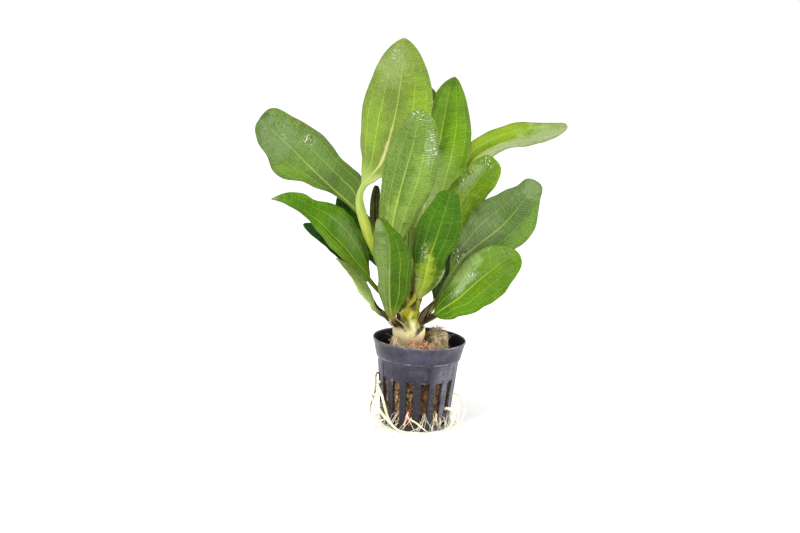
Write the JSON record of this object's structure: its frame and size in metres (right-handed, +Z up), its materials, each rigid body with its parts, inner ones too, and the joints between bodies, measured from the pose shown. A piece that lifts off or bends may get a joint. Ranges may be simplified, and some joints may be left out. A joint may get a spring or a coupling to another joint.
{
  "type": "potted plant",
  "caption": "Potted echinodorus: an upright sword plant with broad oval leaves on a pale crown, rooted in a rock wool plug in a slotted tapered net pot.",
  "frame": {"origin": "on the pot's axis, at the underside of its base, where it stands", "axes": "+Z up along the pot's axis, -Y towards the front that the picture shows, +X to its right"},
  "size_m": [0.1793, 0.1008, 0.2255],
  "materials": {
    "pot_plastic": "satin, lightly scuffed, dark slate",
    "rock_wool": "matt, fibrous, damp brown",
    "crown": "smooth plant tissue, cream to yellow green",
    "leaf_lime": "wet waxy leaf, bright yellow green",
    "leaf_green": "wet waxy leaf, mid green",
    "leaf_deep": "wet waxy leaf, deep green",
    "leaf_dark": "waxy leaf, dark green",
    "leaf_grey": "waxy leaf with a grey bloom",
    "leaf_brown": "young olive brown leaf",
    "root_straw": "smooth pale root",
    "root_tan": "smooth tan root",
    "root_pink": "smooth pink root"
  },
  "bodies": {
    "root": {"net_pot": "pot_plastic", "rock_wool_plug": "rock_wool", "crown": "crown", "leaf_tall_back": "leaf_lime", "leaf_front_centre": "leaf_green", "leaf_right_centre": "leaf_green", "leaf_right_arch": "leaf_lime", "leaf_right_small": "leaf_green", "leaf_right_large": "leaf_grey", "leaf_right_low": "leaf_green", "leaf_front_right": "leaf_deep", "leaf_front_left": "leaf_green", "leaf_left_upper": "leaf_grey", "leaf_left_middle": "leaf_deep", "leaf_left_behind": "leaf_dark", "leaf_left_low": "leaf_dark", "leaf_left_pale": "leaf_grey", "leaf_young_brown": "leaf_brown", "leaf_back_top": "leaf_dark", "leaf_right_behind": "leaf_dark", "leaf_back_left": "leaf_green", "leaf_back_right": "leaf_green", "leaf_back_centre": "leaf_deep", "root_left_long": "root_straw", "root_left_cross": "root_straw", "root_left_edge": "root_tan", "root_floor_loop": "root_straw", "root_right_loop": "root_straw", "root_right_short": "root_straw", "root_front_small": "root_straw", "root_front_pink": "root_pink", "root_front_curl": "root_tan", "root_back_long": "root_straw", "root_back_cross": "root_straw", "root_back_right": "root_straw"}
  },
  "joints": []
}
